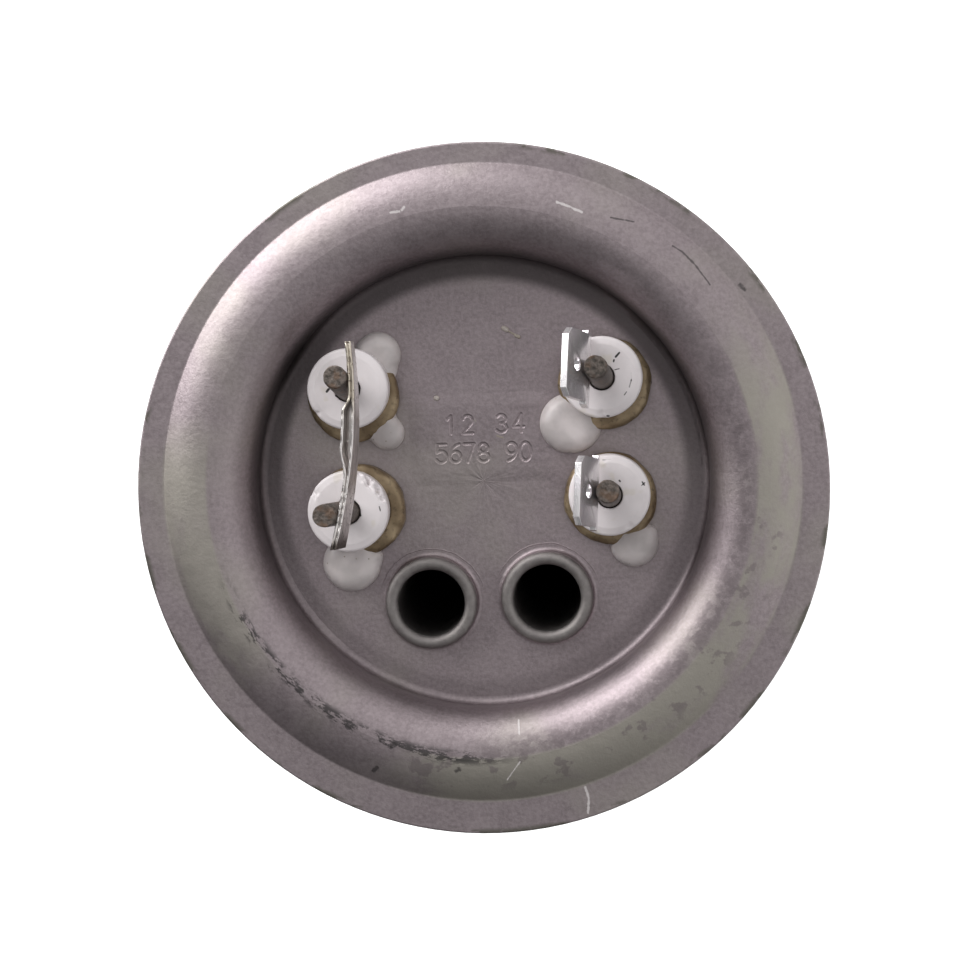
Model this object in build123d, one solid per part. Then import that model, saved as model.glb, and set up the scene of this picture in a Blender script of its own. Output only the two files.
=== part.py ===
from build123d import *
import math
import os

# Twin heating element of a storage water heater, on a pressed round flange.
# +Z points to the dry side, where the terminals are. The tubes run down the -Z side into
# the tank. The origin is the centre of the flange's sealing face. Sizes are millimetres.

# Pressed flange
rim_diameter = 92.0
rim_offset = 0.9
sheet = 1.5
neck_diameter = 64.0
shoulder_height = 2.0
shoulder_round = 6.1
shoulder_run = 9.2
shoulder_fillet = 0.5
floor_depth = 7.0
floor_fillet = 1.1
rim_edge_round = 0.25

# Heater tubes: two hairpins, one above the other
hairpin_span = 34.0
upper_row_y = 12.4
lower_row_y = -3.1
immersion_length = 270.0
sheath_diameter = 8.5
sheath_wall = 0.6
pin_diameter = 3.1
coil_wall = 0.5
cold_length = 42.0
end_seal_length = 8.0

# Brazed joints between the sheaths and the flange
braze_gap = 0.1
braze_ring_diameter = 12.56
braze_ring_height = 2.0
braze_ring_round = 0.9
wet_fillet = 1.6

# Terminals: how high the pins stand, and how far each tip leans from its hole
pin_rise = 14.0
pin_bend = 4.0
pin_tip_chamfer = 0.3
lean_upper_left = (-0.85, 2.9)
lean_upper_right = (-1.0, 2.5)
lean_lower_left = (-3.3, 0.4)
lean_lower_right = (-0.2, 1.8)

# Ceramic insulators
insulator_diameter = 10.9
insulator_thickness = 3.0
insulator_round = 0.45
insulator_bore_gap = 0.2
insulator_bore_flare = 1.1

# Jumper strip between the two left pins, folded double; its left ply bends away in the middle
jumper_rise = 9.7
jumper_height = 3.6
jumper_ply = 0.42
jumper_fold = 0.9
jumper_open = 0.9
jumper_past_upper = 5.4
jumper_past_lower = 4.5
jumper_bow = 2.0
jumper_mouth_length = 10.6
jumper_mouth_taper_upper = 2.0
jumper_mouth_taper_lower = 4.2
jumper_mouth_place = 0.585
jumper_seam = 0.08
jumper_stations = 29
weld_sink = 0.15

# Spade tabs on the two right pins
tab_width = 9.0
tab_shoulder_width = 9.8
tab_sheet = 0.9
tab_foot = 3.4
tab_blade = 5.8
tab_rise = 6.3
tab_bend = 20.0
tab_turn = -5.0
tab_bend_round = 0.6
tab_corner = 1.0
tab_hole_diameter = 1.8
tab_hole_drop = 3.0
tab_shift_upper = 0.5
tab_shift_lower = 0.0

# Thermostat pockets
well_span = 15.7
well_row_y = -16.1
well_bore = 9.1
well_wall = 0.6
well_length = 230.0
well_gap = 0.05
collar_wall = 1.0
collar_height = 1.7
collar_fillet = 0.6
weld_bead_height = 1.0

# Sealing resin that has run out on to the floor: each drop's terminal, and the (x, y, radius)
# of its round lobes, measured from that terminal's axis
resin_height = 2.2
resin_edge_round = 1.4
resin_drops = {
    "resin_drop_upper_left_outer": ("upper", "left", [(3.6, 5.2, 3.0)]),
    "resin_drop_upper_left_inner": ("upper", "left", [(4.4, -5.3, 2.35), (4.5, -3.0, 2.1)]),
    "resin_drop_lower_left": ("lower", "left", [(-1.4, -7.1, 4.0)]),
    "resin_drop_upper_right": ("upper", "right", [(-5.0, -5.2, 4.2)]),
    "resin_drop_lower_right": ("lower", "right", [(3.3, -6.2, 3.15)]),
}

# How far a cutter or a blank runs past the face that it has to reach
spare = 1.0

# Levels and radii that follow from the sizes above
band_top = sheet
floor_top = band_top - floor_depth
floor_under = floor_top - sheet
rim_radius = rim_diameter / 2
shoulder_radius = neck_diameter / 2 - sheet + shoulder_round
sheath_radius = sheath_diameter / 2
sheath_bore = sheath_radius - sheath_wall
pin_radius = pin_diameter / 2
ring_top = floor_top + braze_ring_height
pin_top = floor_top + pin_rise
row_y = {"upper": upper_row_y, "lower": lower_row_y}
side_x = {"left": -hairpin_span / 2, "right": hairpin_span / 2}
well_x = {"left": -well_span / 2, "right": well_span / 2}
tab_shifts = {"upper": tab_shift_upper, "lower": tab_shift_lower}
leans = {
    ("upper", "left"): lean_upper_left,
    ("upper", "right"): lean_upper_right,
    ("lower", "left"): lean_lower_left,
    ("lower", "right"): lean_lower_right,
}


def save(shape, node):
    """Write one node's solid to its own STEP file."""
    shape.label = node
    export_step(shape, f"parts/{node}.step")


def turned(section):
    """A face drawn in the XZ plane, turned a full round about Z."""
    return revolve(section, Axis.Z, 360)


def stub(radius, height):
    """A cylinder that stands on the XY plane."""
    return Cylinder(radius, height, align=(Align.CENTER, Align.CENTER, Align.MIN))


def through(radius):
    """A cylinder that passes through the flange from below its floor to above its shoulder."""
    low = floor_under - spare
    high = band_top + shoulder_height + spare
    return Pos(0, 0, low) * stub(radius, high - low)


def pin_axis_at(row, side, height):
    """The (x, y) of a terminal pin's axis at a height above the floor's top face."""
    lean_x, lean_y = leans[row, side]
    share = height / pin_rise
    return side_x[side] + lean_x * share, row_y[row] + lean_y * share


# Flange


def pressing_line(depth):
    """The flange's section line at a depth under its dry face, from the axis to the rim."""
    slope = math.acos(1 - shoulder_height / (shoulder_run + shoulder_fillet))
    fillet_x = shoulder_radius + (shoulder_run + shoulder_fillet) * math.sin(slope)
    top = band_top + shoulder_height
    hollow = shoulder_fillet + depth
    corner = floor_fillet + depth
    wall_x = shoulder_radius - shoulder_round
    corner_x = wall_x - floor_fillet
    corner_z = floor_top + floor_fillet
    turn = math.degrees(slope)
    edge_x = rim_radius + rim_offset + spare
    frame = Plane.XZ
    floor_line = Line((0, 0, floor_top - depth), (corner_x, 0, floor_top - depth))
    corner_arc = frame * (Pos(corner_x, corner_z) * CenterArc((0, 0), corner, -90, 90))
    wall_line = Line((wall_x + depth, 0, corner_z), (wall_x + depth, 0, top - shoulder_round))
    crest_arc = frame * (
        Pos(shoulder_radius, top - shoulder_round) * CenterArc((0, 0), shoulder_round - depth, 180, -90)
    )
    slope_arc = frame * (
        Pos(shoulder_radius, top - shoulder_run) * CenterArc((0, 0), shoulder_run - depth, 90, -turn)
    )
    hollow_arc = frame * (
        Pos(fillet_x, band_top + shoulder_fillet) * CenterArc((0, 0), hollow, -90 - turn, turn)
    )
    band_line = Line((fillet_x, 0, band_top - depth), (edge_x, 0, band_top - depth))
    return [floor_line, corner_arc, wall_line, crest_arc, slope_arc, hollow_arc, band_line]


def well_collar(x):
    """A collar drawn up out of the floor round a thermostat pocket."""
    inner = well_bore / 2 + well_wall + well_gap
    outer = inner + collar_wall
    foot = outer + collar_fillet
    top = floor_top + collar_height
    sink = floor_top - sheet / 2
    sides = Polyline(
        (foot, 0, floor_top),
        (foot, 0, sink),
        (inner, 0, sink),
        (inner, 0, top),
        (outer, 0, top),
        (outer, 0, floor_top + collar_fillet),
    )
    blend = Plane.XZ * (
        Pos(foot, floor_top + collar_fillet) * CenterArc((0, 0), collar_fillet, 180, 90)
    )
    return Pos(x, well_row_y) * turned(make_face([sides, blend]))


def flange():
    """One pressing: flat rim, raised shoulder, sunken floor, four plain and two collared holes."""
    edge_x = rim_radius + rim_offset + spare
    dry = pressing_line(0)
    wet = pressing_line(sheet)
    axis_end = Line((0, 0, floor_top), (0, 0, floor_under))
    rim_end = Line((edge_x, 0, band_top), (edge_x, 0, band_top - sheet))
    body = turned(make_face(dry + wet + [axis_end, rim_end]))
    trim = Pos(0, -rim_offset) * through(rim_radius)
    body = body & trim
    rim_faces = body.faces().filter_by(GeomType.CYLINDER)
    rim_faces = rim_faces.filter_by(lambda face: abs(face.radius - rim_radius) < rim_edge_round)
    rim_edges = rim_faces.edges().filter_by(GeomType.LINE, reverse=True)
    body = fillet(rim_edges, rim_edge_round)
    for x in well_x.values():
        body += well_collar(x)
        body -= Pos(x, well_row_y) * through(well_bore / 2 + well_wall + well_gap)
    for x in side_x.values():
        for y in row_y.values():
            body -= Pos(x, y) * through(sheath_radius + braze_gap)
    return body


# Heater tubes


def hairpin_path(row, top):
    """Down one leg, round the far bend and up the other, in the row's own plane."""
    y = row_y[row]
    bend = hairpin_span / 2
    low = bend - immersion_length
    left, right = side_x["left"], side_x["right"]
    down = Line((left, y, top), (left, y, low))
    round_bend = ThreePointArc((left, y, low), (0, y, low - bend), (right, y, low))
    up = Line((right, y, low), (right, y, top))
    return Wire([down, round_bend, up])


def along_hairpin(row, top, outer, inner):
    """A round tube of the given radii along a hairpin, cut square at the given level."""
    place = Plane(origin=(side_x["left"], row_y[row], top), x_dir=(1, 0, 0), z_dir=(0, 0, -1))
    section = place * (Circle(outer) - Circle(inner))
    return sweep(section, path=hairpin_path(row, top))


def heater_sheath(row):
    return along_hairpin(row, ring_top, sheath_radius, sheath_bore)


def oxide_filling(row):
    """Packed oxide powder between the sheath and what runs down its middle."""
    return along_hairpin(row, ring_top - end_seal_length, sheath_bore, pin_radius)


def resistance_coil(row):
    """The close-wound wire, drawn as the tube that its turns fill."""
    return along_hairpin(row, floor_top - cold_length, pin_radius, pin_radius - coil_wall)


def terminal_pin(row, side):
    """Straight in the sheath, then leaning from the floor's level up to the tip."""
    x, y = side_x[side], row_y[row]
    tip_x, tip_y = pin_axis_at(row, side, pin_rise)
    foot = (x, y, floor_top - cold_length)
    bend = (x, y, floor_top)
    tip = (tip_x, tip_y, pin_top)
    path = FilletPolyline(foot, bend, tip, radius=pin_bend)
    section = Plane(origin=foot, z_dir=(0, 0, 1)) * Circle(pin_radius)
    pin = sweep(section, path=path)
    tip_edge = pin.edges().filter_by(GeomType.CIRCLE).sort_by(Axis.Z)[-1]
    return chamfer(tip_edge, pin_tip_chamfer)


def end_seal(row, side):
    """Resin that closes the sheath's end round the pin."""
    top = Plane(origin=(side_x[side], row_y[row], ring_top - end_seal_length))
    plug = extrude(top * Circle(sheath_bore), end_seal_length)
    return plug - terminal_pin(row, side)


def braze_ring(row, side):
    """Filler metal: a rounded ring on the floor, the film in the hole and a fillet underneath."""
    outer = braze_ring_diameter / 2
    shoulder = outer - braze_ring_round
    hole = sheath_radius + braze_gap
    lip = sheath_radius + wet_fillet
    low = floor_under - wet_fillet
    round_z = ring_top - braze_ring_round
    lines = [
        Line((sheath_radius, 0, low), (sheath_radius, 0, ring_top)),
        Line((sheath_radius, 0, ring_top), (shoulder, 0, ring_top)),
        Plane.XZ * (Pos(shoulder, round_z) * CenterArc((0, 0), braze_ring_round, 0, 90)),
        Line((outer, 0, round_z), (outer, 0, floor_top)),
        Line((outer, 0, floor_top), (hole, 0, floor_top)),
        Line((hole, 0, floor_top), (hole, 0, floor_under)),
        Line((hole, 0, floor_under), (lip, 0, floor_under)),
        Plane.XZ * (Pos(lip, low) * CenterArc((0, 0), wet_fillet, 90, 90)),
    ]
    return Pos(side_x[side], row_y[row]) * turned(make_face(lines))


def insulator(row, side):
    """A ceramic disc on the braze ring, centred on its leaning pin, its bore wider at the foot."""
    x, y = pin_axis_at(row, side, braze_ring_height + insulator_thickness)
    place = Pos(x, y, ring_top)
    disc = place * stub(insulator_diameter / 2, insulator_thickness)
    disc = fillet(disc.edges().sort_by(Axis.Z)[-1], insulator_round)
    top_radius = pin_radius + insulator_bore_gap
    foot_radius = top_radius + insulator_bore_flare
    middle = insulator_thickness / 2
    bore = place * Pos(0, 0, middle) * Cone(foot_radius, top_radius, insulator_thickness)
    return disc - bore


# Connections on the dry side


def jumper_station(share):
    """The strip's middle line at its top and foot: share 0 at the lower pin, 1 at the upper one."""
    reach = pin_radius + jumper_ply - weld_sink
    bow = jumper_bow * share * (1 - share)
    places = []
    for height in (jumper_rise + jumper_height, jumper_rise):
        lower_x, lower_y = pin_axis_at("lower", "left", height)
        upper_x, upper_y = pin_axis_at("upper", "left", height)
        places.append(lower_x + (upper_x - lower_x) * share + reach + bow)
        y = lower_y + (upper_y - lower_y) * share
    return y, places[0], places[1]


def jumper_section(share, left, right, foot_level, top_level):
    """The strip's cross-section at a share of the way, left and right of its middle line."""
    y, top_x, foot_x = jumper_station(share)
    low = floor_top + jumper_rise
    rate = (top_x - foot_x) / jumper_height
    foot_mid = foot_x + rate * (foot_level - low)
    top_mid = foot_x + rate * (top_level - low)
    corners = [
        (foot_mid - left, y, foot_level),
        (foot_mid + right, y, foot_level),
        (top_mid + right, y, top_level),
        (top_mid - left, y, top_level),
    ]
    return make_face(Polyline(*corners, close=True))


def jumper_swell(share, span):
    """How far the left ply stands off: 0 where the plies are pressed together, 1 along the mouth."""
    off = (share - jumper_mouth_place) * span
    taper = jumper_mouth_taper_upper if off > 0 else jumper_mouth_taper_lower
    rise = min(max((jumper_mouth_length / 2 - abs(off)) / taper, 0), 1)
    return math.sin(math.pi / 2 * rise) ** 2


def jumper_loft(first, last, span, inner, foot_level, top_level):
    """A smooth solid between two shares of the way, with evenly spaced sections."""
    sections = []
    for step in range(jumper_stations):
        share = first + (last - first) * step / (jumper_stations - 1)
        left = inner + jumper_swell(share, span) * jumper_open
        sections.append(jumper_section(share, left, inner, foot_level, top_level))
    return loft(sections)


def jumper_strip():
    """A strip folded double: pressed flat at the pins, open like a trough between them."""
    low = floor_top + jumper_rise
    high = low + jumper_height
    span = jumper_station(1)[0] - jumper_station(0)[0]
    start = -jumper_past_lower / span
    end = 1 + jumper_past_upper / span
    mouth = jumper_mouth_length / span / 2
    strip = jumper_loft(start, end, span, jumper_ply, low, high)
    strip -= jumper_loft(
        jumper_mouth_place - mouth,
        jumper_mouth_place + mouth,
        span,
        jumper_seam / 2,
        low + jumper_fold,
        high + spare,
    )
    for row in row_y:
        strip = strip - terminal_pin(row, "left")
    return strip


def tab_blank():
    """The bent tab in its own frame: seat face at x = 0, width along Y, foot to blade along Z."""
    turn = math.radians(tab_bend)
    lean = Vector(-math.sin(turn), 0, math.cos(turn))
    inner_start = Vector(-tab_sheet, 0, tab_foot)
    outer_start = Vector(0, 0, tab_foot)
    centre = inner_start - Vector(tab_bend_round, 0, 0)
    out = Vector(math.cos(turn), 0, math.sin(turn))
    inner_end = centre + out * tab_bend_round
    outer_end = centre + out * (tab_bend_round + tab_sheet)
    place = Plane.XZ * Pos(centre.X, centre.Z)
    foot_lines = [
        Polyline(inner_start, (-tab_sheet, 0, 0), (0, 0, 0), outer_start),
        place * CenterArc((0, 0), tab_bend_round + tab_sheet, 0, tab_bend),
        Line(outer_end, inner_end),
        place * CenterArc((0, 0), tab_bend_round, 0, tab_bend),
    ]
    foot = extrude(make_face(foot_lines), tab_shoulder_width / 2, both=True)
    corners = [inner_end, outer_end, outer_end + lean * tab_blade, inner_end + lean * tab_blade]
    blade = extrude(make_face(Polyline(*corners, close=True)), tab_width / 2, both=True)
    short_edges = blade.edges().filter_by(lambda edge: abs(edge.length - tab_sheet) < 0.001)
    blade = chamfer(short_edges.sort_by(Axis.Z)[-2:], tab_corner)
    middle = (inner_end + outer_end) * 0.5 + lean * (tab_blade - tab_hole_drop)
    eye = Plane(origin=middle, z_dir=out) * Cylinder(tab_hole_diameter / 2, tab_sheet + 2 * spare)
    return foot + blade - eye


def spade_tab(row):
    """A push-on tab: its foot is welded to the pin's left side, a little turned, its blade bent out."""
    x, y = pin_axis_at(row, "right", tab_rise)
    lean_x, lean_y = leans[row, "right"]
    up = Vector(lean_x, lean_y, pin_rise).normalized()
    turn = math.radians(tab_turn)
    level = Vector(math.cos(turn), math.sin(turn), 0)
    across = (level - up * up.dot(level)).normalized()
    seat = Vector(x, y, floor_top + tab_rise) - across * (pin_radius - weld_sink)
    tab = Plane(origin=seat, x_dir=across, z_dir=up) * Pos(0, tab_shifts[row]) * tab_blank()
    return tab - terminal_pin(row, "right")


# Thermostat pockets


def thermowell(side):
    """A thin tube, open at the floor's collar and closed by a round end far down in the tank."""
    bore = well_bore / 2
    outer = bore + well_wall
    top = floor_top + collar_height
    end_z = outer - well_length
    lines = [
        Line((bore, 0, top), (outer, 0, top)),
        Line((outer, 0, top), (outer, 0, end_z)),
        Plane.XZ * (Pos(0, end_z) * CenterArc((0, 0), outer, 0, -90)),
        Line((0, 0, end_z - outer), (0, 0, end_z - bore)),
        Plane.XZ * (Pos(0, end_z) * CenterArc((0, 0), bore, -90, 90)),
        Line((bore, 0, end_z), (bore, 0, top)),
    ]
    return Pos(well_x[side], well_row_y) * turned(make_face(lines))


def weld_bead(side):
    """The rounded bead that joins the pocket's mouth to the collar."""
    bore = well_bore / 2
    outer = bore + well_wall + well_gap + collar_wall
    seat = floor_top + collar_height
    peak = ((bore + outer) / 2, 0, seat + weld_bead_height)
    crown = ThreePointArc((bore, 0, seat), peak, (outer, 0, seat))
    base = Line((outer, 0, seat), (bore, 0, seat))
    return Pos(well_x[side], well_row_y) * turned(make_face([crown, base]))


# Resin drops


def resin_lobe(x, y, radius):
    """A flat-bottomed drop on the floor: a rounded edge that runs smoothly into a wide cap."""
    inset = radius - resin_edge_round
    rest = resin_height - resin_edge_round
    cap = (inset**2 / rest + resin_edge_round + resin_height) / 2
    turn = math.degrees(math.atan2(cap - resin_height, inset))
    lines = [
        Line((0, 0, 0), (radius, 0, 0)),
        Plane.XZ * (Pos(inset, 0) * CenterArc((0, 0), resin_edge_round, 0, turn)),
        Plane.XZ * (Pos(0, resin_height - cap) * CenterArc((0, 0), cap, turn, 90 - turn)),
        Line((0, 0, resin_height), (0, 0, 0)),
    ]
    return Pos(x, y, floor_top) * turned(make_face(lines))


def resin_drop(row, side, lobes):
    """A drop on the floor that lies against a terminal's braze ring and insulator."""
    drop = resin_lobe(*lobes[0])
    for lobe in lobes[1:]:
        drop += resin_lobe(*lobe)
    drop = Pos(side_x[side], row_y[row]) * drop
    sheath = Pos(side_x[side], row_y[row], floor_top) * stub(sheath_radius, braze_ring_height)
    drop = drop - braze_ring(row, side) - insulator(row, side) - sheath
    return drop.solids().sort_by(SortBy.VOLUME)[-1]


# Writing the parts


def main():
    os.makedirs("parts", exist_ok=True)
    save(flange(), "flange")
    for row in row_y:
        save(heater_sheath(row), f"heater_sheath_{row}")
        save(oxide_filling(row), f"oxide_filling_{row}")
        save(resistance_coil(row), f"resistance_coil_{row}")
        for side in side_x:
            save(terminal_pin(row, side), f"terminal_pin_{row}_{side}")
            save(end_seal(row, side), f"end_seal_{row}_{side}")
            save(braze_ring(row, side), f"braze_ring_{row}_{side}")
            save(insulator(row, side), f"insulator_{row}_{side}")
        save(spade_tab(row), f"spade_tab_{row}")
    save(jumper_strip(), "jumper_strip")
    for side in well_x:
        save(thermowell(side), f"thermowell_{side}")
        save(weld_bead(side), f"weld_bead_{side}")
    for node, (row, side, lobes) in resin_drops.items():
        save(resin_drop(row, side, lobes), node)


main()
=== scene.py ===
import math

import bmesh
import bpy
import numpy as np
from mathutils import Matrix, Vector


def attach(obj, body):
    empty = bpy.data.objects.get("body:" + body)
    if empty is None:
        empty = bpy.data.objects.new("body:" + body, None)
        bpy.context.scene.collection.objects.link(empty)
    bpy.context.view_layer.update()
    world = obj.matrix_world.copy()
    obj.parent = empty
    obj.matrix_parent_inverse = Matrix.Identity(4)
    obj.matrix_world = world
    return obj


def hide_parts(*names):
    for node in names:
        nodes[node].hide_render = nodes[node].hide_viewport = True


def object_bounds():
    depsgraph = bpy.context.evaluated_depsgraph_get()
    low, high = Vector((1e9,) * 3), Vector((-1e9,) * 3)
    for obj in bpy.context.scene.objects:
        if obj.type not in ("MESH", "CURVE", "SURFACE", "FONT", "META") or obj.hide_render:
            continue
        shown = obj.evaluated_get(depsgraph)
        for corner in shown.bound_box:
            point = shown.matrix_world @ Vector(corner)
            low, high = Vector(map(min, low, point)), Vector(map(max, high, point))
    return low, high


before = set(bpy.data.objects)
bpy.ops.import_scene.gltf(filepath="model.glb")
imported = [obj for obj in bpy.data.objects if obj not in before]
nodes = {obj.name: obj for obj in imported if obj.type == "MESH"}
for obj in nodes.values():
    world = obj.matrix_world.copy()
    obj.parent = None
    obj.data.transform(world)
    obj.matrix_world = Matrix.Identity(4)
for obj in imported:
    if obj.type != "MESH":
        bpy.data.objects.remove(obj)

cad_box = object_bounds()
mm = 0.001

# Viewpoint
# The element is seen from almost straight above its dry side, from a place a little to the
# right of its middle and above it in the picture, a third of a metre away.
camera_place = Vector((20.1, 20.5, 323.5)) * mm
camera_aim = Vector((0.546, -0.141, 1.5)) * mm
picture_tilt = math.radians(3)
lens_length = 90.51
sensor_side = 36.0

camera_data = bpy.data.cameras.new("camera")
camera_data.lens = lens_length
camera_data.sensor_width = sensor_side
camera_data.clip_start = 10 * mm
camera_data.clip_end = 10.0
camera = bpy.data.objects.new("camera", camera_data)
camera_back = (camera_place - camera_aim).normalized()
camera_right = Vector((math.sin(picture_tilt), math.cos(picture_tilt), 0)).cross(camera_back).normalized()
camera_axes = Matrix((camera_right, camera_back.cross(camera_right), camera_back)).transposed()
camera.matrix_world = Matrix.Translation(camera_place) @ camera_axes.to_4x4()
bpy.context.scene.collection.objects.link(camera)
bpy.context.scene.camera = camera
bpy.context.scene.view_settings.view_transform = "Standard"


# Studio
# A white table under the ends of the tubes, a pale surround that is darker towards the lower
# left of the picture, and one large soft lamp that stands low at its upper left.
surround_level = 0.78
surround_shadow = 0.8
surround_glow = 0.4
dark_side = (90, 225)
glow_side = (72, -5)
key_lamp = {"tilt": 70, "turn": 134, "distance": 0.8, "width": 0.85, "height": 0.5, "power": 8.0}
table_white = 0.85
table_glow = 0.62
table_reach = 3.0


def add(tree, kind, inputs, **settings):
    """One shader node; each input is given by name or number, as a value or as a socket."""
    made = tree.nodes.new("ShaderNode" + kind)
    for key, value in settings.items():
        setattr(made, key, value)
    for key, value in inputs.items():
        if isinstance(value, bpy.types.NodeSocket):
            tree.links.new(value, made.inputs[key])
        else:
            made.inputs[key].default_value = value
    return made


def maths(tree, kind, *values):
    """One sum on shader values, such as MULTIPLY or MAXIMUM."""
    return add(tree, "Math", dict(enumerate(values)), operation=kind).outputs[0]


def ramp(tree, value, low, high):
    """0 where the value is below low, 1 above high, smooth between them."""
    bounds = {0: value, 1: low, 2: high, 3: 0.0, 4: 1.0}
    return add(tree, "MapRange", bounds, interpolation_type="SMOOTHSTEP").outputs[0]


def product(tree, first, second):
    """Two shader values multiplied together."""
    return maths(tree, "MULTIPLY", first, second)


def rest(tree, value):
    """What a share leaves: 1 less the value."""
    return maths(tree, "SUBTRACT", 1.0, value)


def toward(tilt, turn):
    """A unit vector: tilt is measured from straight above, turn from +X towards +Y, in degrees."""
    tilt, turn = math.radians(tilt), math.radians(turn)
    return Vector((math.sin(tilt) * math.cos(turn), math.sin(tilt) * math.sin(turn), math.cos(tilt)))


def dot(tree, first, second):
    """The dot product of two vectors."""
    return add(tree, "VectorMath", {0: first, 1: second}, operation="DOT_PRODUCT").outputs["Value"]


def surround():
    """A grey world, darker on one side and a little brighter low on the right: both are smooth
    steps on the cosine of the angle to a direction."""
    world = bpy.data.worlds.new("surround")
    world.use_nodes = True
    tree = world.node_tree
    tree.nodes.clear()
    way = add(tree, "TexCoord", {}).outputs["Generated"]
    aside = dot(tree, way, toward(*dark_side))
    right = dot(tree, way, toward(*glow_side))
    dark = product(tree, ramp(tree, aside, -0.15, 0.45), surround_shadow)
    glow = product(tree, ramp(tree, right, 0.75, 0.98), surround_glow)
    change = maths(tree, "SUBTRACT", glow, dark)
    level = product(tree, maths(tree, "ADD", 1.0, change), surround_level)
    rays = add(tree, "LightPath", {}).outputs
    seen = maths(tree, "MAXIMUM", rays["Is Camera Ray"], rays["Is Transmission Ray"])
    strength = add(tree, "Mix", {0: seen, 2: level, 3: 1.0}).outputs[0]
    shade = add(tree, "Background", {"Color": (1, 1, 1, 1), "Strength": strength})
    add(tree, "OutputWorld", {"Surface": shade.outputs[0]})
    bpy.context.scene.world = world


def soft_lamp(name, tilt, turn, distance, width, height, power):
    """A rectangular lamp aimed at the part."""
    data = bpy.data.lights.new(name, "AREA")
    data.shape = "RECTANGLE"
    data.size = width
    data.size_y = height
    data.energy = power
    lamp = bpy.data.objects.new(name, data)
    away = toward(tilt, turn)
    lamp.location = away * distance
    lamp.rotation_mode = "QUATERNION"
    lamp.rotation_quaternion = away.to_track_quat("Z", "Y")
    bpy.context.scene.collection.objects.link(lamp)


def table_finish():
    """Matte white; what the camera or a transmitted ray sees is lifted to white, and shadows stay."""
    material = bpy.data.materials.new("table_paint")
    material.use_nodes = True
    tree = material.node_tree
    tree.nodes.clear()
    rays = add(tree, "LightPath", {}).outputs
    seen = maths(tree, "MAXIMUM", rays["Is Camera Ray"], rays["Is Transmission Ray"])
    matte = add(tree, "BsdfDiffuse", {"Color": (table_white, table_white, table_white, 1)}).outputs[0]
    glow = add(tree, "Emission", {"Color": (1, 1, 1, 1), "Strength": table_glow}).outputs[0]
    lit = add(tree, "AddShader", {0: matte, 1: glow}).outputs[0]
    upper = add(tree, "MixShader", {0: seen, 1: matte, 2: lit}).outputs[0]
    under = add(tree, "BsdfTransparent", {}).outputs[0]
    back_side = add(tree, "NewGeometry", {}).outputs["Backfacing"]
    sided = add(tree, "MixShader", {0: back_side, 1: upper, 2: under})
    add(tree, "OutputMaterial", {"Surface": sided.outputs[0]})
    return material


surround()
soft_lamp("key_lamp", **key_lamp)
table_mesh = bpy.data.meshes.new("table")
table_level = cad_box[0][2]
table_sides = ((-1, -1), (1, -1), (1, 1), (-1, 1))
table_corners = [(x * table_reach, y * table_reach, table_level) for x, y in table_sides]
table_mesh.from_pydata(table_corners, [], [(0, 1, 2, 3)])
table_mesh.materials.append(table_finish())
table = bpy.data.objects.new("table", table_mesh)
bpy.context.scene.collection.objects.link(table)


# Flange
# One pressing of stainless sheet, left as it came from pickling: a matte, purplish grey with
# a fine grain. Water has left an olive stain on the shoulder, and stacking has scuffed its crest.
floor_level = -5.5
steel = (0.335, 0.284, 0.298)
steel_light = (0.410, 0.354, 0.368)
steel_dark = (0.225, 0.189, 0.198)
# The next colour is painted shade, for the floor at the wall's foot.
steel_foot_shade = (0.090, 0.077, 0.079)
stain_olive = (0.405, 0.383, 0.335)
scuff_dark = (0.060, 0.056, 0.056)
mark_white = (0.62, 0.58, 0.58)
steel_roughness = 0.5
rim_dirt = (0.13, 0.125, 0.10)
well_centres = ((-7.85, -16.1), (7.85, -16.1))
rim_drop = 0.9

# Rings of the pressing, each by its inner and outer radius
# The first ring is where painted shade darkens the floor at the wall's foot.
foot_shade_ring = (27.3, 30.9)
crown_ring = (33.6, 36.0)
blot_ring = (35.2, 40.5)
rub_ring = (35.6, 37.2)
slope_ring = (36.4, 42.5)
rim_ring = (45.0, 45.8)
tool_ring = (7.55, 7.65)
unrolled_radius = 36.0

# Straight marks on the shoulder: (start x, start y, end x, end y, half width)
dark_marks = (
    (18.9, 34.1, 21.9, 33.4, 0.10), (26.8, 30.0, 28.0, 29.15, 0.10), (28.0, 29.15, 29.5, 27.5, 0.12),
    (29.5, 27.5, 31.4, 24.7, 0.10), (35.3, 24.5, 35.9, 23.8, 0.22), (-16.2, -37.5, -15.8, -37.2, 0.3),
    (-13.6, -34.2, -13.2, -34.0, 0.3), (-5.1, -37.9, -4.8, -37.7, 0.3),
)
white_marks = (
    (-9.8, 36.3, -8.7, 36.4, 0.16), (-8.3, 36.6, -8.0, 36.9, 0.16), (12.0, 36.5, 13.7, 35.75, 0.13),
    (13.7, 35.75, 15.2, 35.0, 0.13), (3.38, -31.7, 3.43, -33.4, 0.10), (3.37, -37.0, 1.52, -39.4, 0.08),
    (11.8, -41.1, 12.2, -42.6, 0.14), (12.2, -42.6, 12.0, -44.6, 0.14),
)


def blank(name):
    """A material with an empty node tree, that tree, and the place on the piece as a socket."""
    material = bpy.data.materials.new(name)
    material.use_nodes = True
    tree = material.node_tree
    tree.nodes.clear()
    return material, tree, add(tree, "TexCoord", {}).outputs["Object"]


def finished(material, inputs):
    """The material, once it has one Principled surface with these inputs."""
    tree = material.node_tree
    surface_node = add(tree, "BsdfPrincipled", inputs)
    add(tree, "OutputMaterial", {"Surface": surface_node.outputs[0]})
    return material


def cloud(tree, place, size, detail=3.0, roughness=0.5, stretch=(1, 1, 1)):
    """A cloudy value about 0.5; its lumps are about size millimetres across, over the stretch."""
    spread = add(tree, "Mapping", {"Vector": place, "Scale": stretch}).outputs[0]
    inputs = {"Vector": spread, "Scale": 1 / (size * mm), "Detail": detail, "Roughness": roughness}
    return add(tree, "TexNoise", inputs).outputs[0]


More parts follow.
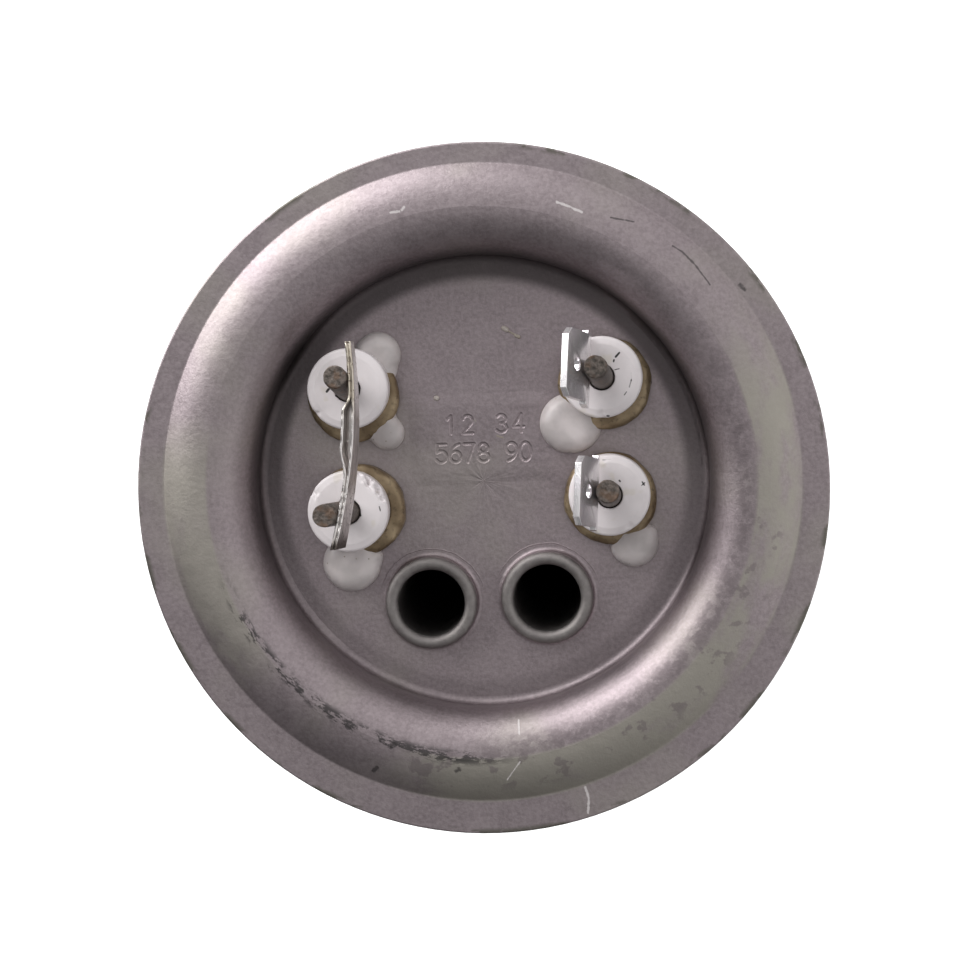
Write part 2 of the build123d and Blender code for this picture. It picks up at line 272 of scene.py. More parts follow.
def mix(tree, share, first, second):
    """A colour between two; each is a socket or a (red, green, blue)."""
    first, second = [(*c, 1) if isinstance(c, tuple) else c for c in (first, second)]
    return add(tree, "Mix", {0: share, 6: first, 7: second}, data_type="RGBA").outputs[2]


def relief(tree, height, depth, under=None):
    """A bump whose full height is depth millimetres, on top of another one."""
    inputs = {"Height": height, "Distance": depth * mm}
    if under is not None:
        inputs["Normal"] = under
    return add(tree, "Bump", inputs).outputs[0]


def within(tree, value, low, high, edge):
    """1 between low and high, and 0 outside, with soft edges."""
    above = ramp(tree, value, low - edge, low + edge)
    below = ramp(tree, value, high - edge, high + edge)
    return product(tree, above, rest(tree, below))


def on_ring(tree, away, ring, edge):
    """1 on a ring round the axis, from its two radii, with soft edges, all in millimetres."""
    return within(tree, away, ring[0] * mm, ring[1] * mm, edge * mm)


def radius_of(tree, across, along):
    """The distance from the axis: the root of the two squares' sum."""
    return maths(tree, "SQRT", maths(tree, "ADD", product(tree, across, across), product(tree, along, along)))


def marks_on(tree, place, strokes, fray):
    """1 on straight strokes: the distance to each one's nearest point, roughened by a cloudy value."""
    found = 0.0
    for start_x, start_y, end_x, end_y, half in strokes:
        start = Vector((start_x, start_y, 0)) * mm
        span = Vector((end_x - start_x, end_y - start_y, 0)) * mm
        off = add(tree, "VectorMath", {0: place, 1: start}, operation="SUBTRACT").outputs[0]
        flat = add(tree, "VectorMath", {0: off, 1: (1, 1, 0)}, operation="MULTIPLY").outputs[0]
        along = dot(tree, flat, span / span.length_squared)
        near = maths(tree, "MINIMUM", maths(tree, "MAXIMUM", along, 0.0), 1.0)
        foot = add(tree, "VectorMath", {0: span, "Scale": near}, operation="SCALE").outputs[0]
        gap = add(tree, "VectorMath", {0: flat, 1: foot}, operation="DISTANCE").outputs["Value"]
        rough = maths(tree, "ADD", gap, product(tree, fray, half * 2.4 * mm))
        inside = rest(tree, ramp(tree, rough, half * 1.7 * mm, half * 2.7 * mm))
        found = maths(tree, "MAXIMUM", found, inside)
    return found


def facing(tree, turn, middle, edge_low, edge_high):
    """1 towards one side of the part: a smooth step on the cosine of the angle from it."""
    off = maths(tree, "COSINE", maths(tree, "SUBTRACT", turn, math.radians(middle)))
    return ramp(tree, off, edge_low, edge_high)


def flange_finish():
    """Steel that follows the pressing: stain, scuffs and painted shade at the wall's foot are masks on radius
    and angle.
    """
    material, tree, place = blank("flange_finish")
    x, y, z = add(tree, "SeparateXYZ", {0: place}).outputs
    away = radius_of(tree, x, y)
    turn = maths(tree, "ARCTAN2", y, x)
    round_x = product(tree, maths(tree, "COSINE", turn), unrolled_radius * mm)
    round_y = product(tree, maths(tree, "SINE", turn), unrolled_radius * mm)
    round_place = add(tree, "CombineXYZ", {0: round_x, 1: round_y, 2: away}).outputs[0]

    grain = cloud(tree, place, 0.55, detail=4.0, roughness=0.65)
    mottle = cloud(tree, place, 3.2, detail=5.0, roughness=0.6)
    patches = cloud(tree, place, 17.0, detail=3.0)
    colour = mix(tree, ramp(tree, grain, 0.3, 0.7), steel_dark, steel_light)
    colour = mix(tree, 0.55, colour, steel)
    colour = mix(tree, product(tree, ramp(tree, mottle, 0.42, 0.62), 0.25), colour, steel_light)
    colour = mix(tree, product(tree, ramp(tree, patches, 0.45, 0.7), 0.35), colour, stain_olive)

    # Painted shade: the floor darkens at the wall's foot, strongest on the side towards +Y.
    shaded = maths(tree, "MULTIPLY_ADD", facing(tree, turn, 95, -0.75, 0.5), 0.6, 0.3)
    foot = product(tree, on_ring(tree, away, foot_shade_ring, 0.9), shaded)
    colour = mix(tree, foot, colour, steel_foot_shade)

    slope = on_ring(tree, away, slope_ring, 0.3)
    washes = cloud(tree, round_place, 9.0, detail=5.0, roughness=0.6, stretch=(0.4, 0.4, 1))
    wash = ramp(tree, washes, 0.36, 0.5)
    lower_right = facing(tree, turn, -42, 0.2, 0.6)
    left_side = product(tree, facing(tree, turn, 193, 0.86, 0.97), 0.8)
    sides = maths(tree, "MAXIMUM", lower_right, left_side)
    stain = product(tree, sides, product(tree, slope, wash))
    colour = mix(tree, product(tree, stain, 0.85), colour, stain_olive)
    crown = product(tree, on_ring(tree, away, crown_ring, 1.0), facing(tree, turn, -38, 0.3, 0.8))
    peel = ramp(tree, cloud(tree, place, 1.4, detail=5.0, roughness=0.7), 0.40, 0.56)
    colour = mix(tree, product(tree, product(tree, crown, peel), 0.7), colour, steel_dark)
    blots = ramp(tree, cloud(tree, place, 2.6, detail=4.0, roughness=0.55), 0.56, 0.62)
    blot_zone = product(tree, on_ring(tree, away, blot_ring, 1.2), facing(tree, turn, -60, 0.35, 0.75))
    colour = mix(tree, product(tree, product(tree, blots, blot_zone), 0.55), colour, steel_dark)

    rub_zone = product(tree, on_ring(tree, away, rub_ring, 0.5), facing(tree, turn, 236, 0.74, 0.90))
    rubs = cloud(tree, round_place, 1.3, detail=6.0, roughness=0.75, stretch=(0.35, 0.35, 1))
    rub = product(tree, ramp(tree, rubs, 0.5, 0.56), rub_zone)
    colour = mix(tree, product(tree, rub, 0.85), colour, scuff_dark)

    fray = cloud(tree, place, 0.5, detail=3.0)
    scratch = marks_on(tree, place, dark_marks, fray)
    colour = mix(tree, product(tree, scratch, 0.7), colour, scuff_dark)
    # Pale streaks along the listed strokes: there the steel turns near-white and matte.
    pale_streaks = marks_on(tree, place, white_marks, fray)

    from_rim = radius_of(tree, x, maths(tree, "ADD", y, rim_drop * mm))
    nicks = cloud(tree, round_place, 2.4, detail=4.0, roughness=0.6, stretch=(0.5, 0.5, 1))
    nicked = product(tree, ramp(tree, nicks, 0.52, 0.6), 0.8)
    edge = product(tree, ramp(tree, from_rim, rim_ring[0] * mm, rim_ring[1] * mm), nicked)
    colour = mix(tree, edge, colour, rim_dirt)

    tool = None
    for well_x, well_y in well_centres:
        off_x = maths(tree, "SUBTRACT", x, well_x * mm)
        off_y = maths(tree, "SUBTRACT", y, well_y * mm)
        wobble = maths(tree, "ADD", radius_of(tree, off_x, off_y), product(tree, mottle, 0.8 * mm))
        arc = product(tree, on_ring(tree, wobble, tool_ring, 0.06), ramp(tree, off_y, 1 * mm, 4 * mm))
        tool = arc if tool is None else maths(tree, "MAXIMUM", tool, arc)
    colour = mix(tree, product(tree, tool, 0.35), colour, steel_dark)
    colour = mix(tree, product(tree, pale_streaks, 0.8), colour, mark_white)

    rough = maths(tree, "ADD", steel_roughness - 0.06, product(tree, mottle, 0.16))
    rough = maths(tree, "ADD", rough, product(tree, stain, 0.06))
    waves = relief(tree, cloud(tree, round_place, 7.0, detail=2.0, stretch=(0.5, 0.5, 1)), 0.12)
    pits = relief(tree, mottle, 0.07, waves)
    skin = relief(tree, grain, 0.035, pits)
    marked = relief(tree, maths(tree, "ADD", tool, product(tree, scratch, -0.6)), 0.03, skin)
    bare = rest(tree, product(tree, pale_streaks, 0.8))
    inputs = {"Base Color": colour, "Metallic": bare, "Roughness": rough, "Normal": marked}
    return finished(material, inputs)


def coat(node, material):
    """Gives a carried-over CAD node its finish."""
    mesh = nodes[node].data
    mesh.materials.clear()
    mesh.materials.append(material)


flange_skin = flange_finish()
coat("flange", flange_skin)


# Stamped numbers
# Numbers struck into the cold sheet between the terminals, each stroke a shallow groove with
# a rounded bottom. The blow leaves the sheet around them very slightly proud.
stamp_lines = (("12 34", (0.49, 7.67), 2.30, 2.40), ("5678 90", (0.15, 3.82), 1.90, 2.45))
stamp_turn = math.radians(-1.2)
digit_width = 0.6
stroke_half = 0.22
groove_depth = 0.11
lip_height = 0.012
plate_middle = (0.3, 5.75)
plate_half = (8.2, 4.2)
plate_height = 0.09
plate_sunk = 0.02
plate_edge = 2.6
stamp_grid = 0.062


def arc_stroke(middle, radii, first, last, count=14):
    """Points along an ellipse's arc: the middle plus each radius times the angle's cosine and sine."""
    angle = np.radians(np.linspace(first, last, count))
    return np.stack([middle[0] + radii[0] * np.cos(angle), middle[1] + radii[1] * np.sin(angle)], axis=1)


def digit_strokes(digit):
    """A digit's strokes as point lists, in a box 0.6 wide and 1 high."""
    line = np.array
    return {
        "0": [arc_stroke((0.3, 0.5), (0.28, 0.5), 0, 360, 36)],
        "1": [line([(0.12, 0.8), (0.32, 1.0), (0.32, 0.0)])],
        "2": [np.concatenate([arc_stroke((0.3, 0.72), (0.27, 0.28), 165, -30),
                              [(0.03, 0.0), (0.58, 0.0)]])],
        "3": [arc_stroke((0.28, 0.75), (0.26, 0.25), 150, -90),
              arc_stroke((0.28, 0.26), (0.3, 0.26), 90, -150)],
        "4": [line([(0.58, 0.3), (0.02, 0.3), (0.45, 1.0), (0.45, 0.0)])],
        "5": [np.concatenate([[(0.55, 1.0), (0.1, 1.0), (0.06, 0.55)],
                              arc_stroke((0.28, 0.32), (0.3, 0.32), 110, -150)])],
        "6": [arc_stroke((0.3, 0.3), (0.28, 0.3), 0, 360, 24),
              arc_stroke((0.6, 0.35), (0.58, 0.65), 180, 100)],
        "7": [line([(0.02, 1.0), (0.57, 1.0), (0.2, 0.0)])],
        "8": [arc_stroke((0.3, 0.75), (0.23, 0.25), 0, 360, 24),
              arc_stroke((0.3, 0.25), (0.29, 0.25), 0, 360, 24)],
        "9": [arc_stroke((0.3, 0.7), (0.28, 0.3), 0, 360, 24), arc_stroke((0.0, 0.65), (0.58, 0.65), 0, -80)],
        " ": [],
    }[digit]


def stroke_distance(across, along, stroke):
    """Least distance from each grid point to a chain of straight pieces, by projection on each."""
    start, span = stroke[:-1], np.diff(stroke, axis=0)
    off_x = across[..., None] - start[:, 0]
    off_y = along[..., None] - start[:, 1]
    share = (off_x * span[:, 0] + off_y * span[:, 1]) / (span ** 2).sum(axis=1).clip(1e-9)
    share = share.clip(0, 1)
    return np.hypot(off_x - share * span[:, 0], off_y - share * span[:, 1]).min(axis=-1)


def surface(name, points, close_rows=False, close_columns=False):
    """A mesh from a grid of points in millimetres (rows, columns, 3): neighbours join as quads."""
    rows, columns = points.shape[:2]
    index = np.arange(rows * columns).reshape(rows, columns)
    if close_rows:
        index = np.concatenate([index, index[:1]], axis=0)
    if close_columns:
        index = np.concatenate([index, index[:, :1]], axis=1)
    quads = np.stack([index[:-1, :-1], index[:-1, 1:], index[1:, 1:], index[1:, :-1]], axis=-1)
    mesh = bpy.data.meshes.new(name)
    mesh.from_pydata((points.reshape(-1, 3) * mm).tolist(), [], quads.reshape(-1, 4).tolist())
    mesh.polygons.foreach_set("use_smooth", np.ones(len(mesh.polygons), dtype=bool))
    piece = bpy.data.objects.new(name, mesh)
    bpy.context.scene.collection.objects.link(piece)
    return piece


def outward(piece):
    """Merges the points that meet at poles, caps open ends, and turns the faces outwards."""
    shell = bmesh.new()
    shell.from_mesh(piece.data)
    bmesh.ops.remove_doubles(shell, verts=shell.verts, dist=0.0005 * mm)
    rim = [edge for edge in shell.edges if edge.is_boundary]
    if rim:
        bmesh.ops.holes_fill(shell, edges=rim)
    bmesh.ops.recalc_face_normals(shell, faces=shell.faces)
    shell.to_mesh(piece.data)
    shell.free()


def place_piece(piece, material, slot_name, *replaced):
    """The finish, the body and the CAD nodes that a piece stands for; slot_name is not used."""
    piece.data.materials.append(material)
    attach(piece, "root")
    if replaced:
        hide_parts(*replaced)


def stamped_plate():
    """A grid just over the floor: a feathered plateau, less a rounded groove along each stroke."""
    half_x, half_y = (half + plate_edge for half in plate_half)
    middle_x, middle_y = plate_middle
    columns, rows = (np.arange(-half, half, stamp_grid) for half in (half_x, half_y))
    across, along = np.meshgrid(columns, rows, indexing="ij")
    inset = np.minimum(half_x - abs(across), half_y - abs(along)).clip(0, plate_edge) / plate_edge
    past_x = (abs(across) - half_x + plate_edge).clip(0)
    past_y = (abs(along) - half_y + plate_edge).clip(0)
    corner = np.hypot(past_x, past_y)
    inset = np.minimum(inset, (1 - corner / plate_edge).clip(0))
    rise = (plate_height + plate_sunk) * inset ** 2 * (3 - 2 * inset) - plate_sunk
    nearest = np.full(across.shape, 9.0)
    cosine, sine = math.cos(stamp_turn), math.sin(stamp_turn)
    for text, centre, pitch, height in stamp_lines:
        off_x, off_y = across + middle_x - centre[0], along + middle_y - centre[1]
        text_x, text_y = off_x * cosine + off_y * sine, off_y * cosine - off_x * sine
        for place, digit in enumerate(text):
            left = (place - (len(text) - 1) / 2) * pitch - digit_width / 2 * height
            for stroke in digit_strokes(digit):
                chain = stroke * height + np.array([left, -height / 2])
                nearest = np.minimum(nearest, stroke_distance(text_x, text_y, chain))
    groove = (1 - (nearest / stroke_half) ** 2).clip(0)
    lip = np.exp(-((nearest - stroke_half * 1.35) / 0.1) ** 2)
    level = floor_level + rise - groove_depth * groove ** 0.8 + lip_height * lip * inset
    return surface("stamped_numbers", np.stack([across + middle_x, along + middle_y, level], axis=-1))


stamp = stamped_plate()
place_piece(stamp, flange_skin, "flange_steel")


# Thermostat pockets
# Thin drawn tubes whose mouths are welded into the flange's collars; the weld is ground to a
# smooth rounded lip, a shade greener and duller than the sheet.
pocket_steel = (0.235, 0.215, 0.212)
pocket_light = (0.300, 0.282, 0.272)


def satin_metal(name, dark, light, roughness, grain_size, depth, stretch=(1, 1, 1)):
    """Plain worn metal: two close colours mixed by a cloud, with a fine bump of the same grain."""
    material, tree, place = blank(name)
    grain = cloud(tree, place, grain_size, detail=5.0, roughness=0.6, stretch=stretch)
    patches = cloud(tree, place, grain_size * 9, detail=3.0)
    colour = mix(tree, ramp(tree, grain, 0.3, 0.7), dark, light)
    colour = mix(tree, product(tree, ramp(tree, patches, 0.4, 0.7), 0.4), colour, dark)
    rough = maths(tree, "ADD", roughness - 0.08, product(tree, grain, 0.16))
    bump = relief(tree, grain, depth)
    inputs = {"Base Color": colour, "Metallic": 1.0, "Roughness": rough, "Normal": bump}
    return finished(material, inputs)


pocket_skin = satin_metal("pocket_finish", pocket_steel, pocket_light, 0.46, 0.6, 0.02)
lip_skin = satin_metal("weld_finish", pocket_steel, pocket_light, 0.62, 0.9, 0.05)
for side in ("left", "right"):
    coat(f"thermowell_{side}", pocket_skin)
    coat(f"weld_bead_{side}", lip_skin)


# Heater tubes
# Each hairpin is a stainless tube, rolled down on its powder and annealed, which leaves faint
# straw and brown bands along it. Inside are magnesia powder, a coil of wire and resin seals.
tube_steel = (0.34, 0.32, 0.31)
tube_straw = (0.36, 0.30, 0.22)
tube_brown = (0.22, 0.18, 0.15)


def tube_finish():
    """Annealed tube: colour bands across its length, with a fine grain drawn out along it."""
    material, tree, place = blank("sheath_finish")
    bands = cloud(tree, place, 22.0, detail=3.0, stretch=(0.2, 0.2, 1))
    grain = cloud(tree, place, 0.35, detail=4.0, stretch=(1, 1, 0.08))
    colour = mix(tree, ramp(tree, bands, 0.42, 0.62), tube_steel, tube_straw)
    colour = mix(tree, product(tree, ramp(tree, bands, 0.6, 0.75), 0.6), colour, tube_brown)
    colour = mix(tree, product(tree, grain, 0.25), colour, tube_brown)
    rough = maths(tree, "ADD", 0.3, product(tree, grain, 0.16))
    inputs = {"Base Color": colour, "Metallic": 1.0, "Roughness": rough, "Normal": relief(tree, grain, 0.01)}
    return finished(material, inputs)


def chalky(name, dark, light, grain_size, roughness):
    """A dry or resinous stuff: two close colours mixed by a cloud, with a bump of the same grain."""
    material, tree, place = blank(name)
    grain = cloud(tree, place, grain_size, detail=5.0)
    colour = mix(tree, ramp(tree, grain, 0.35, 0.65), dark, light)
    inputs = {"Base Color": colour, "Roughness": roughness, "Normal": relief(tree, grain, 0.03)}
    return finished(material, inputs)


tube_skin = tube_finish()
powder_skin = chalky("powder_finish", (0.70, 0.69, 0.66), (0.82, 0.81, 0.78), 0.3, 0.9)
seal_skin = chalky("seal_finish", (0.42, 0.38, 0.36), (0.52, 0.48, 0.46), 0.8, 0.45)
wire_skin = satin_metal("wire_finish", (0.28, 0.25, 0.22), (0.38, 0.34, 0.30), 0.4, 0.3, 0.01)
for row in ("upper", "lower"):
    coat(f"heater_sheath_{row}", tube_skin)
    coat(f"oxide_filling_{row}", powder_skin)
    coat(f"resistance_coil_{row}", wire_skin)
    for side in ("left", "right"):
        coat(f"end_seal_{row}_{side}", seal_skin)


# Brazed rings
# Brass-coloured filler that ran round each tube and froze as a lumpy ring, browned by flux.
# It goes through the hole in the floor and ends in a hollow fillet on the wet side.
terminals = {
    "upper_left": (-17.0, 12.4),
    "upper_right": (17.0, 12.4),
    "lower_left": (-17.0, -3.1),
    "lower_right": (17.0, -3.1),
}
ring_top = -3.5
ring_bore = 4.27
ring_radius = 6.22
ring_shoulder = 0.95
floor_hole = 4.34
floor_under = -7.0
wet_fillet = 1.6
ring_step = 0.25
ring_turns = 160
ring_lumps = ((3.0, 0.05), (1.1, 0.018))
brass_dark = (0.070, 0.050, 0.030)
brass_brown = (0.190, 0.135, 0.078)
brass_tan = (0.330, 0.252, 0.158)


def arc_points(middle, radius, first, last, count):
    """(radius, height) points along a circle's arc: the middle plus radius times cosine and sine."""
    angle = np.radians(np.linspace(first, last, count))
    return np.stack([middle[0] + radius * np.cos(angle), middle[1] + radius * np.sin(angle)], axis=1)


def fill_in(corners, step):
    """Extra points on each straight run of a closed profile, so that no run is longer than step."""
    chain = []
    for start, end in zip(corners, np.roll(corners, -1, axis=0)):
        count = max(1, int(np.hypot(*(end - start)) / step))
        chain.append(start + (end - start) * np.arange(count)[:, None] / count)
    return np.concatenate(chain)


def ripples(places, seed, length, count=24):
    """A smooth random value at each point: plane waves of about one length, with drawn directions
    and phases, added up and scaled to a mean square of 1."""
    draw = np.random.default_rng(seed)
    ways = draw.normal(size=(count, 3))
    ways *= (2 * np.pi / (length * draw.uniform(0.6, 1.7, count) * np.linalg.norm(ways, axis=1)))[:, None]
    phases = draw.uniform(0, 2 * np.pi, count)
    return np.cos(places @ ways.T + phases).sum(axis=-1) * math.sqrt(2 / count)


def turned(profile, middle, steps):
    """A closed (radius, height) profile carried round an upright axis through the middle."""
    angle = np.linspace(0, 2 * np.pi, steps, endpoint=False)
    across = middle[0] + profile[:, :1] * np.cos(angle)
    along = middle[1] + profile[:, :1] * np.sin(angle)
    return np.stack([across, along, np.repeat(profile[:, 1:], steps, axis=1)], axis=-1)


def braze_finish():
    """Dull brass: tan where it is rubbed, brown to almost black where flux has burnt on, and darker towards
    its foot.
    """
    material, tree, place = blank("braze_finish")
    z = add(tree, "SeparateXYZ", {0: place}).outputs[2]
    grain = cloud(tree, place, 0.7, detail=5.0, roughness=0.6)
    patches = cloud(tree, place, 4.0, detail=4.0)
    colour = mix(tree, ramp(tree, patches, 0.36, 0.62), brass_brown, brass_tan)
    colour = mix(tree, product(tree, ramp(tree, grain, 0.52, 0.7), 0.6), colour, brass_dark)
    # Darker towards the foot, next to the floor.
    foot = rest(tree, ramp(tree, z, (floor_level - 0.1) * mm, (floor_level + 0.7) * mm))
    colour = mix(tree, product(tree, foot, 0.75), colour, brass_dark)
    inputs = {"Base Color": colour, "Metallic": 0.55, "Roughness": 0.45, "Normal": relief(tree, grain, 0.05)}
    return finished(material, inputs)


def braze_ring(name, middle, seed):
    """The ring's section carried round the tube, its free surface lifted and sunk by ripples."""
    round_z = ring_top - ring_shoulder
    corners = np.concatenate([
        [(ring_bore, floor_under - wet_fillet), (ring_bore, ring_top)],
        arc_points((ring_radius - ring_shoulder, round_z), ring_shoulder, 90, 0, 9),
        [(ring_radius, floor_level), (floor_hole, floor_level), (floor_hole, floor_under)],
        arc_points((ring_bore + wet_fillet, floor_under - wet_fillet), wet_fillet, 90, 180, 9)[:-1],
    ])
    profile = fill_in(corners, ring_step)
    points = turned(profile, middle, ring_turns)
    free = ((profile[:, 0] - ring_bore) / 1.5).clip(0, 1) * (profile[:, 1] > floor_level - 0.01)
    lump = free[:, None] * sum(ripples(points, seed + step, length) * height
                               for step, (length, height) in enumerate(ring_lumps))
    away = points[..., :2] - np.array(middle)
    points[..., :2] += away / np.linalg.norm(away, axis=-1, keepdims=True) * lump[..., None]
    points[..., 2] += np.where(profile[:, 1:] > round_z, lump * 0.8, 0)
    piece = surface(f"brazed_ring_{name}", points, close_rows=True, close_columns=True)
    outward(piece)
    return piece


braze_skin = braze_finish()
for seed, (name, middle) in enumerate(terminals.items()):
    place_piece(braze_ring(name, middle, 10 + seed), braze_skin, "braze_metal", f"braze_ring_{name}")


# Ceramic insulators
# Pressed and fired steatite washers, glazed white, that sit on the rings round the pins. Their
# edges are bevelled, the lower left one is chipped, and soot and tool marks lie on their tops.
pin_leans = {
    "upper_left": (-0.85, 2.9),
    "upper_right": (-1.0, 2.5),
    "lower_left": (-3.3, 0.4),
    "lower_right": (-0.2, 1.8),
}
pin_height = 14.0
pin_radius = 1.55
disc_radius = 5.45
disc_height = 3.0
disc_foot_flare = 1.3
disc_bore_gap = 0.2
disc_bore_round = 0.15
disc_foot_round = 0.15
disc_edge_round = 0.45
disc_edge_drop = 0.62
disc_bevel = ((4.4, 0.0), (4.85, 0.12))
disc_step = 0.11
disc_turns = 300
glaze_white = (0.80, 0.745, 0.755)
glaze_grey = (0.62, 0.575, 0.58)
glaze_stain = (0.60, 0.54, 0.40)
soot_and_shade_black = (0.025, 0.022, 0.022)

# Soot strokes on each top, from the disc's centre; the last upper left one is painted shade in the gap by the
# pin:
# (start x, start y, end x, end y, half width, strength)
soot_and_shade_strokes = {
    "upper_left": (
        (-2.75, -0.2, -2.5, 0.1, 0.17, 1), (-1.6, -0.8, -1.35, -1.0, 0.10, 1),
        # Painted shade: the dark gap between the pin and the washer, drawn as a soot stroke.
        (-0.9, -0.1, -0.7, -0.5, 0.3, 1),
    ),
    "upper_right": (
        (2.0, 2.6, 2.5, 3.1, 0.14, 1), (1.7, 2.0, 1.75, 2.2, 0.13, 0.9), (1.8, 0.9, 2.4, 1.0, 0.10, 0.6),
        (3.9, 0.4, 3.9, -0.6, 0.09, 0.42), (3.9, -0.6, 3.6, -1.5, 0.11, 0.6),
        (2.9, -2.5, 3.2, -2.1, 0.12, 0.6), (0.5, -5.2, 0.7, -5.2, 0.14, 0.8),
    ),
    "lower_left": (
        (4.3, 0.5, 4.4, -0.1, 0.09, 0.8), (1.6, 0.2, 1.7, -0.6, 0.18, 0.7), (2.9, 4.0, 3.0, 3.9, 0.08, 0.7),
    ),
    "lower_right": (
        (-0.7, 4.8, 0.4, 4.8, 0.08, 0.55), (4.4, 1.6, 4.7, 1.1, 0.11, 0.7), (4.3, 1.1, 4.8, 1.5, 0.08, 0.6),
        (1.4, 1.9, 1.5, 1.8, 0.14, 0.8),
    ),
}
# Chips on each rim: (angle in degrees, half width in degrees, depth)
rim_chips = {
    "upper_left": ((215, 6, 0.12),),
    "upper_right": ((268, 5, 0.14), (120, 4, 0.10)),
    "lower_left": ((50, 16, 0.42), (32, 9, 0.40), (18, 7, 0.22), (150, 7, 0.15)),
    "lower_right": ((96, 10, 0.14), (300, 6, 0.12)),
}


def ceramic_finish():
    """White glaze with faint grey clouds and yellow stains; soot, and painted shade by one pin, come from the
    piece's attribute.
    """
    material, tree, place = blank("ceramic_finish")
    soot_and_shade = add(tree, "Attribute", {}, attribute_name="soot_and_shade").outputs["Fac"]
    clouds = cloud(tree, place, 5.0, detail=4.0)
    grain = cloud(tree, place, 0.8, detail=5.0, roughness=0.6)
    colour = mix(tree, product(tree, ramp(tree, clouds, 0.45, 0.7), 0.5), glaze_white, glaze_grey)
    stains = ramp(tree, cloud(tree, place, 3.1, detail=2.0), 0.62, 0.72)
    colour = mix(tree, product(tree, stains, 0.3), colour, glaze_stain)
    # Soot, and painted shade by one pin, darken the glaze here.
    soot_and_shade_mask = ramp(tree, maths(tree, "ADD", soot_and_shade, product(tree, grain, 0.35)), 0.42, 0.75)
    colour = mix(tree, soot_and_shade_mask, colour, soot_and_shade_black)
    bump = relief(tree, clouds, 0.05, relief(tree, grain, 0.012))
    inputs = {"Base Color": colour, "Roughness": 0.33, "Normal": bump}
    return finished(material, inputs)


def insulator(name, seed):
    """A washer: its section carried round the pin, chips taken off the rim as bell curves of the
    angle, and soot and painted shade as a bell curve of the distance from each stroke."""
    share = (disc_height - (floor_level - ring_top)) / pin_height
    middle = [place + lean * share for place, lean in zip(terminals[name], pin_leans[name])]
    corners = np.concatenate([
        [(pin_radius + disc_foot_flare, 0.0)],
        arc_points((pin_radius + disc_bore_gap + disc_bore_round, disc_height - disc_bore_round),
                   disc_bore_round, 180, 90, 5),
        [(radius, disc_height - drop) for radius, drop in disc_bevel],
        arc_points((disc_radius - disc_edge_round, disc_height - disc_edge_drop), disc_edge_round, 75, 0, 7),
        arc_points((disc_radius - disc_foot_round, disc_foot_round), disc_foot_round, 0, -90, 4),
    ])
    profile = fill_in(corners, disc_step)
    points = turned(profile, middle, disc_turns)
    away = points[..., :2] - np.array(middle)
    bearing = np.degrees(np.arctan2(away[..., 1], away[..., 0]))
    from_edge = (profile[:, 0] - disc_radius) ** 2 + (profile[:, 1] - disc_height) ** 2
    edge = np.exp(-from_edge / 0.9 ** 2)[:, None]
    bite = np.zeros(bearing.shape)
    for angle, width, depth in rim_chips[name]:
        off = (bearing - angle + 180) % 360 - 180
        bite += depth * np.exp(-(off / width) ** 2)
    bite *= (1 + 0.45 * ripples(points, seed, 0.9)).clip(0)
    points[..., :2] -= away / np.linalg.norm(away, axis=-1, keepdims=True) * (bite * edge)[..., None]
    warp = ripples(points, seed + 5, 5.0) * 0.012 * (profile[:, 1:] > 1)
    points[..., 2] += ring_top - bite * edge * 0.9 + warp
    soot_and_shade = np.zeros(bearing.shape)
    for start_x, start_y, end_x, end_y, half, strength in soot_and_shade_strokes[name]:
        stroke = np.array([(start_x, start_y), (end_x, end_y)])
        soot_and_shade += strength * np.exp(-(stroke_distance(away[..., 0], away[..., 1], stroke) / half) ** 2)
    soot_and_shade *= profile[:, 1:] > disc_height - 0.9
    piece = surface(f"ceramic_insulator_{name}", points, close_rows=True, close_columns=True)
    mark = piece.data.attributes.new("soot_and_shade", "FLOAT", "POINT")
    mark.data.foreach_set("value", soot_and_shade.clip(0, 1).ravel())
    outward(piece)
    return piece


ceramic_skin = ceramic_finish()
for seed, name in enumerate(terminals):
    place_piece(insulator(name, 30 + seed), ceramic_skin, "insulator_ceramic", f"insulator_{name}")


# Terminal pins
# Mild steel rod, sheared off and left bare, so it is dark, mottled and a little rusty. Each one
# leans from its hole, pushed over when the strips were welded on.
pin_tip = 8.5
pin_foot = -47.5
pin_tip_round = 0.16
pin_tip_slope = 0.10
pin_dark = (0.085, 0.074, 0.066)
pin_grey = (0.200, 0.168, 0.148)
pin_rust = (0.165, 0.105, 0.072)


def pin_finish():
    """Bare rod: dark and grey clouds, rust in patches, and a rough sheared skin."""
    material, tree, place = blank("pin_finish")
    grain = cloud(tree, place, 0.6, detail=5.0, roughness=0.65)
    patches = cloud(tree, place, 1.6, detail=3.0)
    colour = mix(tree, ramp(tree, grain, 0.35, 0.65), pin_dark, pin_grey)
    colour = mix(tree, product(tree, ramp(tree, patches, 0.5, 0.66), 0.7), colour, pin_rust)
    rough = maths(tree, "ADD", 0.38, product(tree, grain, 0.25))
    inputs = {"Base Color": colour, "Metallic": 0.75, "Roughness": rough, "Normal": relief(tree, grain, 0.09)}
    return finished(material, inputs)


